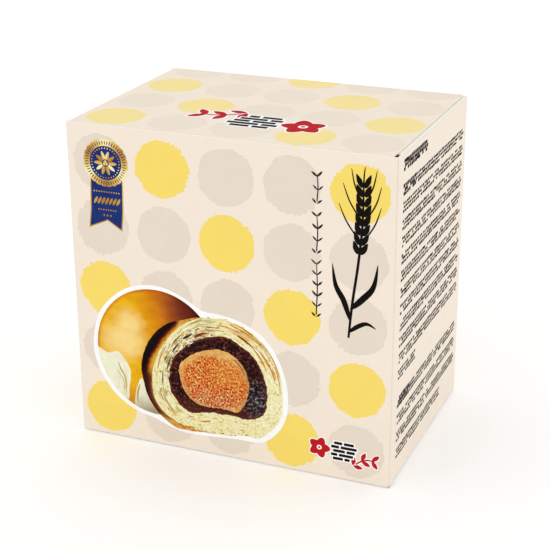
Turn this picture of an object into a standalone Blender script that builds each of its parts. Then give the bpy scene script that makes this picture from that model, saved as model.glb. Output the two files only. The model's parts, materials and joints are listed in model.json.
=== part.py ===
"""A shut folding carton for pastries: a box of printed paperboard, wider across the front than it is deep.

One sheet of board is creased and folded into four walls, glued down one corner, and shut at both ends.
At each end a panel is hinged on the back wall, lies on two dust flaps, and tucks in behind the front wall.
The carton is shut and full, so it is one solid, with the board's folds, cut edges and gaps as relief.
"""

import math

import bmesh
import bpy
from mathutils import Matrix, Vector

# Driving dimensions in metres: the front is WIDTH by HEIGHT and faces -Y, and the carton stands on Z = 0
WIDTH = 0.120
DEPTH = 0.083
HEIGHT = 0.1195
BOARD = 0.00045
FOLD_RADIUS = 0.0006
FOLD_STEPS = 3

# The end panels stop short of the side walls and leave a strip of each dust flap bare
END_PANEL_INSET = 0.0016

# The fine gap beside each tucked panel, and the one beside the glued corner
GAP = 0.00015
TUCK_GAP_DEPTH = 0.0012
SEAM_GAP_DEPTH = 0.0006

# The hole left at each front corner where the front wall, a dust flap and an end panel meet
CORNER_HOLE_RADII = Vector((0.0006, 0.0010, 0.0010))
CORNER_HOLE_INSET = Vector((0.0010, 0.0007, 0.0004))
CORNER_HOLE_SEGMENTS = 16
CORNER_HOLE_RINGS = 10

# How far a cutter reaches past the carton
REACH = 0.002

BOARD_COLOR = (0.905, 0.791, 0.673, 1.0)
BOARD_ROUGHNESS = 0.5


def clear_scene():
    for scene_object in list(bpy.data.objects):
        bpy.data.objects.remove(scene_object)


def new_collection(name):
    collection = bpy.data.collections.new(name)
    bpy.context.scene.collection.children.link(collection)
    return collection


def object_from_bmesh(name, mesh_data, collection):
    mesh = bpy.data.meshes.new(name)
    mesh_data.to_mesh(mesh)
    mesh_data.free()
    made = bpy.data.objects.new(name, mesh)
    collection.objects.link(made)
    return made


def box(name, low, high, collection):
    """A box between two corners, with its size in its mesh, so that a bevel on it is even."""
    low, high = Vector(low), Vector(high)
    mesh_data = bmesh.new()
    bmesh.ops.create_cube(mesh_data, size=1.0)
    bmesh.ops.scale(mesh_data, vec=high - low, verts=mesh_data.verts)
    made = object_from_bmesh(name, mesh_data, collection)
    made.location = (low + high) / 2
    return made


def as_cutter(made):
    made.hide_render = True
    made.display_type = "WIRE"
    return made


def board_material():
    material = bpy.data.materials.new("printed_board")
    material.use_nodes = True
    shader = material.node_tree.nodes["Principled BSDF"]
    shader.inputs["Base Color"].default_value = BOARD_COLOR
    shader.inputs["Roughness"].default_value = BOARD_ROUGHNESS
    shader.inputs["Metallic"].default_value = 0.0
    return material


def folded_block(collection):
    """The full box of the carton, every edge rounded as a fold in the board is."""
    block = box("carton", (-WIDTH / 2, -DEPTH / 2, 0), (WIDTH / 2, DEPTH / 2, HEIGHT), collection)
    folds = block.modifiers.new("folds", "BEVEL")
    folds.width = FOLD_RADIUS
    folds.segments = FOLD_STEPS
    folds.limit_method = "ANGLE"
    return block


def flap_strip_cutter(side, top, collection):
    """What is missing above the bare strip of a dust flap. side is -1 or 1 along X, top is True at the lid."""
    inner = side * (WIDTH / 2 - END_PANEL_INSET)
    outer = side * (WIDTH / 2 + REACH)
    low_z, high_z = (HEIGHT - BOARD, HEIGHT + REACH) if top else (-REACH, BOARD)
    name = f"flap_strip_{'right' if side > 0 else 'left'}_{'top' if top else 'bottom'}"
    low = (min(inner, outer), -DEPTH / 2 - REACH, low_z)
    high = (max(inner, outer), DEPTH / 2 + REACH, high_z)
    return as_cutter(box(name, low, high, collection))


def tuck_outline():
    """What is missing outside a tucked fold, across the front's top edge, as (outwards of the front, up) points.

    It holds the step onto the front wall's cut edge, the gap behind that edge, and the round of the fold.
    """
    gap_start = -BOARD
    fold_start = gap_start - GAP
    points = [(REACH, REACH), (REACH, -BOARD), (gap_start, -BOARD)]
    points += [(gap_start, -TUCK_GAP_DEPTH), (fold_start, -TUCK_GAP_DEPTH)]
    for step in range(FOLD_STEPS + 1):
        angle = math.pi / 2 * step / FOLD_STEPS
        outwards = fold_start - FOLD_RADIUS * (1 - math.cos(angle))
        up = -FOLD_RADIUS * (1 - math.sin(angle))
        points.append((outwards, up))
    points.append((fold_start - FOLD_RADIUS, REACH))
    return points


def prism(name, outline, length, collection):
    """A bar along X with the given outline in Y and Z, from a filled curve, its caps welded to its sides."""
    curve = bpy.data.curves.new(name, "CURVE")
    curve.dimensions = "2D"
    curve.fill_mode = "BOTH"
    curve.extrude = length / 2
    spline = curve.splines.new("POLY")
    spline.points.add(len(outline) - 1)
    for point, (across, up) in zip(spline.points, outline):
        point.co = (across, up, 0, 1)
    spline.use_cyclic_u = True
    guide = bpy.data.objects.new(name + "_curve", curve)
    collection.objects.link(guide)
    graph = bpy.context.evaluated_depsgraph_get()
    mesh = bpy.data.meshes.new_from_object(guide.evaluated_get(graph))
    bpy.data.objects.remove(guide)
    # The curve's X, Y and Z become the bar's Y, Z and X
    mesh.transform(Matrix(((0, 0, 1, 0), (1, 0, 0, 0), (0, 1, 0, 0), (0, 0, 0, 1))))
    mesh_data = bmesh.new()
    mesh_data.from_mesh(mesh)
    bpy.data.meshes.remove(mesh)
    bmesh.ops.remove_doubles(mesh_data, verts=mesh_data.verts, dist=1e-6)
    bmesh.ops.recalc_face_normals(mesh_data, faces=mesh_data.faces)
    return object_from_bmesh(name, mesh_data, collection)


def tuck_cutter(top, collection):
    """The tuck outline, placed along the front's top edge, or upside down along its bottom edge."""
    edge_z, upwards = (HEIGHT, 1) if top else (0, -1)
    outline = [(-DEPTH / 2 - outwards, edge_z + upwards * up) for outwards, up in tuck_outline()]
    name = f"tuck_{'top' if top else 'bottom'}"
    return as_cutter(prism(name, outline, WIDTH + 2 * REACH, collection))


def corner_hole_cutter(side, top, collection):
    """A small egg-shaped hole at one end of a tucked fold."""
    mesh_data = bmesh.new()
    bmesh.ops.create_uvsphere(
        mesh_data, u_segments=CORNER_HOLE_SEGMENTS, v_segments=CORNER_HOLE_RINGS, radius=1.0
    )
    bmesh.ops.scale(mesh_data, vec=CORNER_HOLE_RADII, verts=mesh_data.verts)
    name = f"corner_hole_{'right' if side > 0 else 'left'}_{'top' if top else 'bottom'}"
    hole = object_from_bmesh(name, mesh_data, collection)
    inset = CORNER_HOLE_INSET
    height = HEIGHT - inset.z if top else inset.z
    hole.location = (side * (WIDTH / 2 - inset.x), -DEPTH / 2 + inset.y, height)
    return as_cutter(hole)


def glued_corner_cutter(collection):
    """The fine gap down the back's left corner, where the left wall's cut edge meets the fold of the back."""
    start = -WIDTH / 2 + BOARD
    low = (start, DEPTH / 2 - SEAM_GAP_DEPTH, FOLD_RADIUS)
    high = (start + GAP, DEPTH / 2 + REACH, HEIGHT - FOLD_RADIUS)
    return as_cutter(box("glued_corner", low, high, collection))


def make_carton():
    parts = new_collection("pastry carton")
    cutters = new_collection("cutters")
    carton = folded_block(parts)
    for top in (True, False):
        tuck_cutter(top, cutters)
        for side in (-1, 1):
            flap_strip_cutter(side, top, cutters)
            corner_hole_cutter(side, top, cutters)
    glued_corner_cutter(cutters)
    cuts = carton.modifiers.new("cut edges and gaps", "BOOLEAN")
    cuts.operation = "DIFFERENCE"
    cuts.solver = "EXACT"
    cuts.operand_type = "COLLECTION"
    cuts.collection = cutters
    carton.data.materials.append(board_material())
    return carton


clear_scene()
make_carton()
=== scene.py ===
"""The looks of a shut pastry carton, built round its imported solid.

The board is drawn as a flat blank, creased and folded by one function, and every ink is drawn flat and
folded with it. Sizes are in metres. Artwork is in millimetres, across from a panel's left edge and down
from its top.
"""

import bisect
import json
import math
import random

import bmesh
import bpy
from mathutils import Matrix, Quaternion, Vector
from mathutils import noise as solid_noise

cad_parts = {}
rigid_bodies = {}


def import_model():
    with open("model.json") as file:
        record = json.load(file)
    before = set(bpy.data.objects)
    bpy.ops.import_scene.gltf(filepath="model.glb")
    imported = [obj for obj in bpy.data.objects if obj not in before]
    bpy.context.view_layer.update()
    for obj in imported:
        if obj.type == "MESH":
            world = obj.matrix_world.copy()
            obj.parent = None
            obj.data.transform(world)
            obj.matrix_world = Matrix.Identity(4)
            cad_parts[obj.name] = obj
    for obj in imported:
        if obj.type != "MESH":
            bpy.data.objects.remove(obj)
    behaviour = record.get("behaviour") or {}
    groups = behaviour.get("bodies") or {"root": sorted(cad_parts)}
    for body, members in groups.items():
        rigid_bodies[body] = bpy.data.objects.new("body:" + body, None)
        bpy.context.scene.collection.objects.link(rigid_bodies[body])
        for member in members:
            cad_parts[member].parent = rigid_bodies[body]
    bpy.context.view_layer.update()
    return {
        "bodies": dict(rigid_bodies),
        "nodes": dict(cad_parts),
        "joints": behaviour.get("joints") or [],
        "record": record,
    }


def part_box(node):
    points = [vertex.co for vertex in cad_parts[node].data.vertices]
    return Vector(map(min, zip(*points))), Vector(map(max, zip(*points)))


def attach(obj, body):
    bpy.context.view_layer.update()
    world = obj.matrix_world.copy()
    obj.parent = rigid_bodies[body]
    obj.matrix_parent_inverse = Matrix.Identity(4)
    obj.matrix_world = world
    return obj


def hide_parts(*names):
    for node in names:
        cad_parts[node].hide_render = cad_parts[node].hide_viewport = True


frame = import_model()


# Camera. A long lens stands a little above the carton and to its right, and sees the front, the right side
# and the lid. Its place was fitted to the seven corners of the carton that the photograph shows.
CAMERA_AZIMUTH = math.radians(22.289)
CAMERA_ELEVATION = math.radians(21.634)
CAMERA_ROLL = math.radians(0.277)
CAMERA_DISTANCE = 0.52484
CAMERA_AIM = Vector((0.0007, 0, 0.0555))
CAMERA_LENS = 92.62
CAMERA_SENSOR = 36


def place_camera():
    lens = bpy.data.cameras.new("camera")
    lens.lens = CAMERA_LENS
    lens.sensor_width = CAMERA_SENSOR
    camera = bpy.data.objects.new("camera", lens)
    backwards = Vector((
        math.sin(CAMERA_AZIMUTH) * math.cos(CAMERA_ELEVATION),
        -math.cos(CAMERA_AZIMUTH) * math.cos(CAMERA_ELEVATION),
        math.sin(CAMERA_ELEVATION),
    ))
    camera.location = CAMERA_AIM + CAMERA_DISTANCE * backwards
    camera.rotation_mode = "QUATERNION"
    camera.rotation_quaternion = backwards.to_track_quat("Z", "Y") @ Quaternion((0, 0, 1), -CAMERA_ROLL)
    bpy.context.scene.collection.objects.link(camera)
    bpy.context.scene.camera = camera


place_camera()


# Carton board. One sheet of paperboard, printed cream on its outer side, die cut, creased and folded into
# four walls, with a glued corner at the back left. At each end a panel hinged on the back wall lies on the
# side walls' dust flaps and tucks in behind the front wall's cut edge.
MM = 0.001
BOARD = 0.45 * MM
FOLD_RADIUS = 0.6 * MM
FOLD_STEPS = 6
CLOSE_GAP = 0.04 * MM
DUST_FLAP_GAP = 0.2 * MM
END_PANEL_INSET = 1.6 * MM
TUCK_FLAP = 15 * MM
TUCK_SHOULDER = 0.05 * MM
TUCK_CORNER = 5 * MM
TUCK_CORNER_STEPS = 8
DUST_FLAP = 30 * MM
DUST_FLAP_FRONTS = {"left": 1.2 * MM, "right": 4.4 * MM}
DUST_FLAP_BACK = 0.6 * MM
# Each taper is how far in from the flap's side it ends, and how far above the wall it starts
FRONT_TAPER = (4 * MM, 2 * MM)
BACK_TAPER = (12 * MM, 14 * MM)
GLUE_FLAP = 13 * MM
GLUE_FLAP_DROPS = (2 * MM, 12 * MM)
RELIEF_SLIT = 0.35 * MM
SMALL_NOTCH = 0.2 * MM
FRONT_FOOT_NOTCH = 0.75 * MM
NOTCH_STEPS = 6
LEFT_BLEED = 3 * MM
SLACK = 0.01 * MM
SAME_POINT = 1e-7
SHARP_ANGLE = math.radians(40)
# A noise is its scale, its detail and, where it isn't the usual one, its roughness
FIBRE_NOISE, FIBRE_RELIEF = (1400, 5, 0.7), 0.05 * MM
GLOSS_NOISE, GLOSS_CHANGE = (90, 3), 0.05
NOISE_LIMITS = (0.3, 0.7)
CREAM = (243, 230, 214)
# Painted shade: the darker cream along the rounded creases, partly the crushed board's own tone
CREASE_SHADE_CREAM = (226, 214, 197)
BARE_BOARD = (247, 242, 231)
CUT_EDGE = (246, 240, 226)

carton_low, carton_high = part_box("carton")
WIDTH, DEPTH, HEIGHT = carton_high - carton_low

# The blank is measured across from the crease left of the front wall, and up from the walls' lower end
BACK_CREASE = WIDTH + DEPTH
BACK_END = 2 * WIDTH + DEPTH
GLUE_CREASE = BACK_END - BOARD - CLOSE_GAP
WALL_CREASES = (0, WIDTH, BACK_CREASE, GLUE_CREASE)
PANEL_SIDES = (BACK_CREASE + END_PANEL_INSET, BACK_END - END_PANEL_INSET)
DUST_CREASE = HEIGHT - BOARD - DUST_FLAP_GAP
TUCK_CREASE = HEIGHT + DEPTH - BOARD - CLOSE_GAP
CUT_TOP = HEIGHT - BOARD


def past_crease(flat, along, lift, crease):
    """Turns what lies past a crease inwards by a quarter turn. Lift is the height off the printed side.

    Flat is the point's place before any fold, which says if it is past the crease. Along is its place now.
    """
    start = crease - FOLD_RADIUS
    if flat <= start:
        return along, lift
    if flat < crease + FOLD_RADIUS:
        turn = math.pi / 2 * (flat - start) / (2 * FOLD_RADIUS)
        reach = FOLD_RADIUS + lift
        return start + reach * math.sin(turn), reach * math.cos(turn) - FOLD_RADIUS
    return crease + lift, crease - along


def end_creases(across):
    """The creases above the wall at this place, measured up the blank, the outermost first."""
    reach = abs(across - WIDTH / 2) - WIDTH / 2
    front = DUST_FLAP_FRONTS["left" if across < 0 else "right"]
    if front - SLACK <= reach <= DEPTH - DUST_FLAP_BACK + SLACK and across < BACK_CREASE:
        return (DUST_CREASE,)
    if PANEL_SIDES[0] - SLACK <= across <= PANEL_SIDES[1] + SLACK:
        return (TUCK_CREASE, HEIGHT)
    return ()


def folded(point):
    """A point of the flat blank, (across, up, lift), carried to its place on the shut carton."""
    across, up, lift = point
    upper = up > HEIGHT / 2
    flat_height = height = up if upper else HEIGHT - up
    for crease in end_creases(across):
        height, lift = past_crease(flat_height, height, lift, crease)
    along = across
    for crease in (GLUE_CREASE, BACK_CREASE, WIDTH):
        along, lift = past_crease(across, along, lift, crease)
    leftwards, lift = past_crease(-across, -along, lift, 0)
    return Vector((-leftwards - WIDTH / 2, -DEPTH / 2 - lift, height if upper else HEIGHT - height))


def cut_along(mesh_data, axis, position):
    """Puts an edge across the flat mesh where its across (0) or up (1) has this value."""
    places = [vert.co[axis] for vert in mesh_data.verts]
    if min(places) < position < max(places):
        normal = Vector((axis == 0, axis == 1, 0))
        everything = mesh_data.verts[:] + mesh_data.edges[:] + mesh_data.faces[:]
        bmesh.ops.bisect_plane(
            mesh_data, geom=everything, plane_co=normal * position, plane_no=normal, dist=SAME_POINT
        )


def cut_at_creases(mesh_data):
    """Cuts the flat mesh into narrow strips along each crease that crosses it."""
    creases = [(0, across) for across in WALL_CREASES]
    for up in (DUST_CREASE, HEIGHT, TUCK_CREASE):
        creases += [(1, up), (1, HEIGHT - up)]
    for axis, crease in creases:
        for step in range(FOLD_STEPS + 1):
            cut_along(mesh_data, axis, crease + FOLD_RADIUS * (2 * step / FOLD_STEPS - 1))


def fold(mesh_data):
    for vert in mesh_data.verts:
        vert.co = folded(vert.co)


def around(degrees, radius, centre):
    """The point at this angle in degrees and this radius about a centre."""
    angle = math.radians(degrees)
    return Vector((centre[0] + radius * math.cos(angle), centre[1] + radius * math.sin(angle)))


def arc(centre, radius, start, end, steps):
    """Points along an arc, with its angles in degrees."""
    return [around(start + (end - start) * step / steps, radius, centre) for step in range(steps + 1)]


def side_wall_top(side):
    """The outline above a side wall, from front to back: cut edge, dust flap, cut edge."""
    slit_end = DUST_CREASE - FOLD_RADIUS - RELIEF_SLIT
    flap_end = HEIGHT + DUST_FLAP
    front, back = DUST_FLAP_FRONTS[side], DEPTH - DUST_FLAP_BACK
    flap = [(front, slit_end), (front, HEIGHT + FRONT_TAPER[1]), (front + FRONT_TAPER[0], flap_end)]
    flap += [(back - BACK_TAPER[0], flap_end), (back, HEIGHT + BACK_TAPER[1]), (back, slit_end)]
    before = [(front - RELIEF_SLIT, CUT_TOP), (front - RELIEF_SLIT, slit_end)]
    after = [(back + RELIEF_SLIT, slit_end), (back + RELIEF_SLIT, CUT_TOP)]
    return before + flap + after


def corner_notch(across, radius):
    """The small notch cut at the end of a crease between two walls, so that the corner folds cleanly."""
    return arc((across, CUT_TOP), radius, 180, 360, NOTCH_STEPS)


def end_panel_outline():
    """The end panel and its round-cornered tuck flap, from right to left of the carton."""
    near, far = PANEL_SIDES
    slit_end = HEIGHT - FOLD_RADIUS - RELIEF_SLIT
    flap_end = TUCK_CREASE + TUCK_FLAP
    flap_near, flap_far = near + TUCK_SHOULDER, far - TUCK_SHOULDER
    outline = [(near - RELIEF_SLIT, CUT_TOP), (near - RELIEF_SLIT, slit_end), (near, slit_end)]
    outline += [(near, TUCK_CREASE - FOLD_RADIUS), (flap_near, TUCK_CREASE + FOLD_RADIUS)]
    corners = ((flap_near + TUCK_CORNER, 180, 90), (flap_far - TUCK_CORNER, 90, 0))
    for across, start, end in corners:
        outline += arc((across, flap_end - TUCK_CORNER), TUCK_CORNER, start, end, TUCK_CORNER_STEPS)
    outline += [(flap_far, TUCK_CREASE + FOLD_RADIUS), (far, TUCK_CREASE - FOLD_RADIUS)]
    outline += [(far, slit_end), (far + RELIEF_SLIT, slit_end), (far + RELIEF_SLIT, CUT_TOP)]
    return outline


def end_outline(front_notch):
    """The die line above the walls, from left to right, with notches of this radius beside the front."""
    line = [(-DEPTH, CUT_TOP)] + [(-across, up) for across, up in reversed(side_wall_top("left"))]
    line += corner_notch(0, front_notch) + corner_notch(WIDTH, front_notch)
    line += [(WIDTH + across, up) for across, up in side_wall_top("right")]
    line += corner_notch(BACK_CREASE, SMALL_NOTCH) + end_panel_outline() + [(GLUE_CREASE, CUT_TOP)]
    line.append((GLUE_CREASE + FOLD_RADIUS, CUT_TOP - GLUE_FLAP_DROPS[0]))
    line.append((GLUE_CREASE + GLUE_FLAP, CUT_TOP - GLUE_FLAP_DROPS[1]))
    return line


def blank_outline():
    """The die line of the whole blank, anticlockwise: its lower end, and then its upper end."""
    lower = [(across, HEIGHT - up) for across, up in end_outline(FRONT_FOOT_NOTCH)]
    return lower + end_outline(SMALL_NOTCH)[::-1]


def add_node(tree, kind, inputs=None, **settings):
    """Adds a node. Each input is another node's output socket, which is linked, or a plain value."""
    node = tree.nodes.new(kind)
    for name, value in settings.items():
        setattr(node, name, value)
    for name, value in (inputs or {}).items():
        if isinstance(value, bpy.types.NodeSocket):
            tree.links.new(value, node.inputs[name])
        else:
            node.inputs[name].default_value = value
    return node


def linear(colour):
    """A screen colour, of 0 to 255 a channel, in the linear values that a shader takes."""
    channels = []
    for share in [channel / 255 for channel in colour]:
        channels.append(share / 12.92 if share <= 0.04045 else ((share + 0.055) / 1.055) ** 2.4)
    return channels + [1]


def blend(tree, share, first, second, kind="MIX"):
    """Two colours, each a screen colour or a socket, mixed by a share that is a number or a socket."""
    first, second = [c if isinstance(c, bpy.types.NodeSocket) else linear(c) for c in (first, second)]
    inputs = {0: share, 6: first, 7: second}
    return add_node(tree, "ShaderNodeMix", inputs, data_type="RGBA", blend_type=kind).outputs[2]


def between(tree, value, start, end, low=0.0, high=1.0):
    """The value's way from start to end, clamped and eased, mapped to low and high."""
    inputs = {"Value": value, "From Min": start, "From Max": end, "To Min": low, "To Max": high}
    return add_node(tree, "ShaderNodeMapRange", inputs, interpolation_type="SMOOTHSTEP").outputs["Result"]


def mottle(tree, place, scale, detail=3.0, roughness=0.6):
    """Cloudy noise, as one number about 0.5."""
    inputs = {"Vector": place, "Scale": scale, "Detail": detail, "Roughness": roughness}
    return add_node(tree, "ShaderNodeTexNoise", inputs).outputs["Fac"]


def spread(tree, noise, low=0.0, high=1.0):
    """Noise's usual values, which lie between the limits, mapped to low and high."""
    return between(tree, noise, *NOISE_LIMITS, low, high)


def varied(tree, share, colour, darker, lighter):
    """A screen colour, from some levels darker than it is to some lighter as the share grows."""
    ends = [[channel + levels for channel in colour] for levels in (-darker, lighter)]
    return blend(tree, share, *ends)


def maths(tree, operation, *values):
    return add_node(tree, "ShaderNodeMath", dict(enumerate(values)), operation=operation).outputs[0]


def times(tree, first, second):
    return maths(tree, "MULTIPLY", first, second)


def new_finish(name, colour_of, roughness=0.5, fibre=0.12, shine=0.06):
    """A material: the colour that colour_of(tree, place) makes, on a faint bump of paper fibre."""
    material = bpy.data.materials.new(name)
    material.use_nodes = True
    tree = material.node_tree
    shader = tree.nodes["Principled BSDF"]
    place = add_node(tree, "ShaderNodeTexCoord").outputs["Object"]
    tree.links.new(colour_of(tree, place), shader.inputs["Base Color"])
    relief = {"Height": mottle(tree, place, *FIBRE_NOISE), "Strength": fibre, "Distance": FIBRE_RELIEF}
    bump = add_node(tree, "ShaderNodeBump", relief)
    tree.links.new(bump.outputs["Normal"], shader.inputs["Normal"])
    limits = (roughness - GLOSS_CHANGE, roughness + GLOSS_CHANGE)
    gloss = spread(tree, mottle(tree, place, *GLOSS_NOISE), *limits)
    tree.links.new(gloss, shader.inputs["Roughness"])
    shader.inputs["Specular IOR Level"].default_value = shine
    return material


def attribute(tree, name, output="Fac"):
    return add_node(tree, "ShaderNodeAttribute", attribute_name=name).outputs[output]


def cream_colour(tree, place):
    """Cream ink, very slightly cloudy, darker along each crease: crushed fibres and painted shade of the
    fold.
    """
    cream = varied(tree, spread(tree, mottle(tree, place, 60, 4)), CREAM, 1, 1)
    shaded_crease = between(tree, attribute(tree, "crease"), 0.1, 0.9)
    broken = between(tree, mottle(tree, place, 900, 3), 0.35, 0.6, 0.55, 1)
    return blend(tree, times(tree, shaded_crease, broken), cream, CREASE_SHADE_CREAM)


def bare_colour(tree, place):
    return varied(tree, spread(tree, mottle(tree, place, 700, 5, 0.7)), BARE_BOARD, 5, 3)


def cut_edge_colour(tree, place):
    fibres = between(tree, mottle(tree, place, 2500, 4, 0.7), 0.35, 0.65)
    return blend(tree, fibres, CUT_EDGE, BARE_BOARD)


def crease_share(across, up):
    """1 on the middle line of a crease that bends the board here, and 0 from its edge on."""
    height = up if up > HEIGHT / 2 else HEIGHT - up
    distances = [abs(across - crease) for crease in WALL_CREASES]
    distances += [abs(height - crease) for crease in end_creases(across) if crease != TUCK_CREASE]
    return max(0.0, 1 - min(distances) / FOLD_RADIUS)


def new_piece(name, mesh, materials):
    """An object at the origin for a mesh whose place is in its vertices."""
    piece = bpy.data.objects.new(name, mesh)
    bpy.context.scene.collection.objects.link(piece)
    for material in materials:
        mesh.materials.append(material)
    return piece


def plain_mesh(carrier):
    """The mesh that an object's modifiers make, as a plain mesh. The object is removed."""
    graph = bpy.context.evaluated_depsgraph_get()
    mesh = bpy.data.meshes.new_from_object(
        carrier.evaluated_get(graph), preserve_all_data_layers=True, depsgraph=graph
    )
    bpy.data.objects.remove(carrier)
    return mesh


def make_board():
    mesh_data = bmesh.new()
    crease_shade = mesh_data.verts.layers.float.new("crease")
    mesh_data.faces.new([mesh_data.verts.new((across, up, 0)) for across, up in blank_outline()])
    cut_at_creases(mesh_data)
    for print_end in (DUST_CREASE + LEFT_BLEED, HEIGHT - DUST_CREASE - LEFT_BLEED):
        cut_along(mesh_data, 1, print_end)
    for vert in mesh_data.verts:
        # Each point's share of the painted crease shade
        vert[crease_shade] = crease_share(vert.co.x, vert.co.y)
    for face in mesh_data.faces:
        across, up, _ = face.calc_center_median()
        past_wall = max(up, HEIGHT - up) - DUST_CREASE
        bleed = LEFT_BLEED if across < 0 else 0
        on_side = across < BACK_CREASE
        face.material_index = 1 if (on_side and past_wall > bleed) or across > GLUE_CREASE else 0
    fold(mesh_data)
    carrier_mesh = bpy.data.meshes.new("carton_board")
    mesh_data.to_mesh(carrier_mesh)
    mesh_data.free()
    materials = [
        new_finish("cream print on board", cream_colour),
        new_finish("bare board", bare_colour, 0.75, 0.3),
        new_finish("cut edge of board", cut_edge_colour, 0.85, 0.4),
    ]
    carrier = new_piece("board_sheet", carrier_mesh, materials)
    thickness = carrier.modifiers.new("thickness", "SOLIDIFY")
    thickness.thickness = BOARD
    thickness.offset = -1
    thickness.use_even_offset = True
    thickness.material_offset = 1
    thickness.material_offset_rim = 2
    mesh = plain_mesh(carrier)
    mesh.shade_smooth()
    mesh.set_sharp_from_angle(angle=SHARP_ANGLE)
    board = new_piece("carton_board", mesh, [])
    board.modifiers.new("flat panels", "WEIGHTED_NORMAL").keep_sharp = True
    return board


carton_board = make_board()
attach(carton_board, "root")
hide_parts("carton")


# Dots. Rounds of flat ink with ragged edges, as if rubbed on with a crayon, in a square grid on the front,
# on the left wall, and over the lid and back wall in one run. One in three is yellow, the others are grey.
INK = 0.02 * MM
INK_SINK = 0.02 * MM
DOT_SIDES = 240
DOT_RADIUS = 10.2 * MM
# The waves and the teeth of a dot's rim, each as its size along the rim and its reach
DOT_WOBBLE = (3.8 * MM, 0.7 * MM)
DOT_TEETH = (1.1 * MM, 0.75 * MM)
DOT_TORN_PATCH = 11 * MM
YELLOW_EVERY = 3
YELLOW_SEED, GREY_SEED = 3.0, 8.0
YELLOW_INK = (248, 220, 110)
# The pale inks are lit copies of the inks: painted glare where the light falls on the lid
LID_GLARE_YELLOW_INK = (247, 227, 155)
GREY_INK = (231, 218, 202)
LID_GLARE_GREY_INK = (238, 226, 209)
# The depth below the top from which the painted glare on the lid is full
LID_GLARE_DEPTH = 0.1 * MM


def panel_frame(left, top, upside_down=False):
    """The place of a panel's artwork on the blank, from its top left corner as the artwork stands."""
    return Matrix.Translation((left, top, 0)) @ Matrix.Rotation(math.pi if upside_down else 0, 4, "Z")


FRONT_ART = panel_frame(0, HEIGHT)
SIDE_ART = panel_frame(WIDTH, HEIGHT)
BACK_ART = panel_frame(BACK_CREASE, HEIGHT)
LEFT_ART = panel_frame(-DEPTH, HEIGHT)
# The lid's artwork starts at its back fold, upside down to the back wall that it is hinged on
LID_ART = panel_frame(BACK_END, HEIGHT, upside_down=True)

# Each grid: its artwork, first dot, steps across and down, columns, and the first yellow dot of each row
DOT_GRIDS = (
    (FRONT_ART, (12.55, 13.95), (23.75, 23.4), 5, (2, 3, 1, 2, 1)),
    (LID_ART, (14.0, 72.3), (23.5, -23.5), 5, (1, 2, 1, 3, 2, 1, 3, 2, 1)),
    (LEFT_ART, (14.6, 8.0), (23.6, 23.9), 3, (3, 1, 2, 1, 3)),
)


def on_art(art, x, y, lift=0.0):
    """The blank's point for an artwork's point in millimetres."""
    return art @ Vector((x * MM, -y * MM, lift))


def dot_centres(yellow):
    centres = []
    for art, (first_x, first_y), (step_x, step_y), columns, first_yellows in DOT_GRIDS:
        for row, first_yellow in enumerate(first_yellows):
            for column in range(columns):
                if ((column + 1 - first_yellow) % YELLOW_EVERY == 0) == yellow:
                    centres.append(on_art(art, first_x + column * step_x, first_y + row * step_y))
    return centres


def new_tree(name, numbers, whole_numbers):
    """A Geometry Nodes tree with these inputs and one for its ink, and its start and end nodes."""
    tree = bpy.data.node_groups.new(name, "GeometryNodeTree")
    inputs = [("Geometry", "Geometry"), ("Ink", "Material")]
    inputs += [(label, "Float") for label in numbers] + [(label, "Int") for label in whole_numbers]
    for label, kind in inputs:
        tree.interface.new_socket(label, in_out="INPUT", socket_type="NodeSocket" + kind)
    tree.interface.new_socket("Geometry", in_out="OUTPUT", socket_type="NodeSocketGeometry")
    return tree, add_node(tree, "NodeGroupInput").outputs, add_node(tree, "NodeGroupOutput")


def plus(tree, first, second):
    return maths(tree, "ADD", first, second)


def part(tree, vector, axis):
    return add_node(tree, "ShaderNodeSeparateXYZ", {0: vector}).outputs[axis]


def shifted(tree, geometry, offset):
    inputs = {"Geometry": geometry, "Offset": offset}
    return add_node(tree, "GeometryNodeSetPosition", inputs).outputs[0]


def on_points(tree, points, instance, **more):
    inputs = {"Points": points, "Instance": instance} | more
    return add_node(tree, "GeometryNodeInstanceOnPoints", inputs).outputs[0]


def plate(tree, start, radius):
    """A flat round of ink, with its sides and its thickness from the tree's inputs."""
    sizes = {"Vertices": start["Sides"], "Radius": radius, "Depth": start["Thickness"]}
    return add_node(tree, "GeometryNodeMeshCylinder", sizes, fill_type="NGON").outputs["Mesh"]


def vector_maths(tree, operation, *vectors, **more):
    inputs = dict(enumerate(vectors)) | more
    return add_node(tree, "ShaderNodeVectorMath", inputs, operation=operation).outputs[0]


def end_tree(tree, end, instances, ink):
    """Makes the instances real, gives them their ink, and hands them on."""
    real = add_node(tree, "GeometryNodeRealizeInstances", {"Geometry": instances}).outputs[0]
    inked = add_node(tree, "GeometryNodeSetMaterial", {"Geometry": real, "Material": ink}).outputs[0]
    tree.links.new(inked, end.inputs[0])


def noise_height(tree, place, size, seed):
    """A height about zero, from noise with clouds of this size."""
    noise = {"Vector": place, "W": seed, "Scale": maths(tree, "DIVIDE", 1.0, size), "Detail": 1.0}
    cloud = add_node(tree, "ShaderNodeTexNoise", noise, noise_dimensions="4D").outputs["Fac"]
    return between(tree, cloud, 0, 1, -1, 1)


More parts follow.
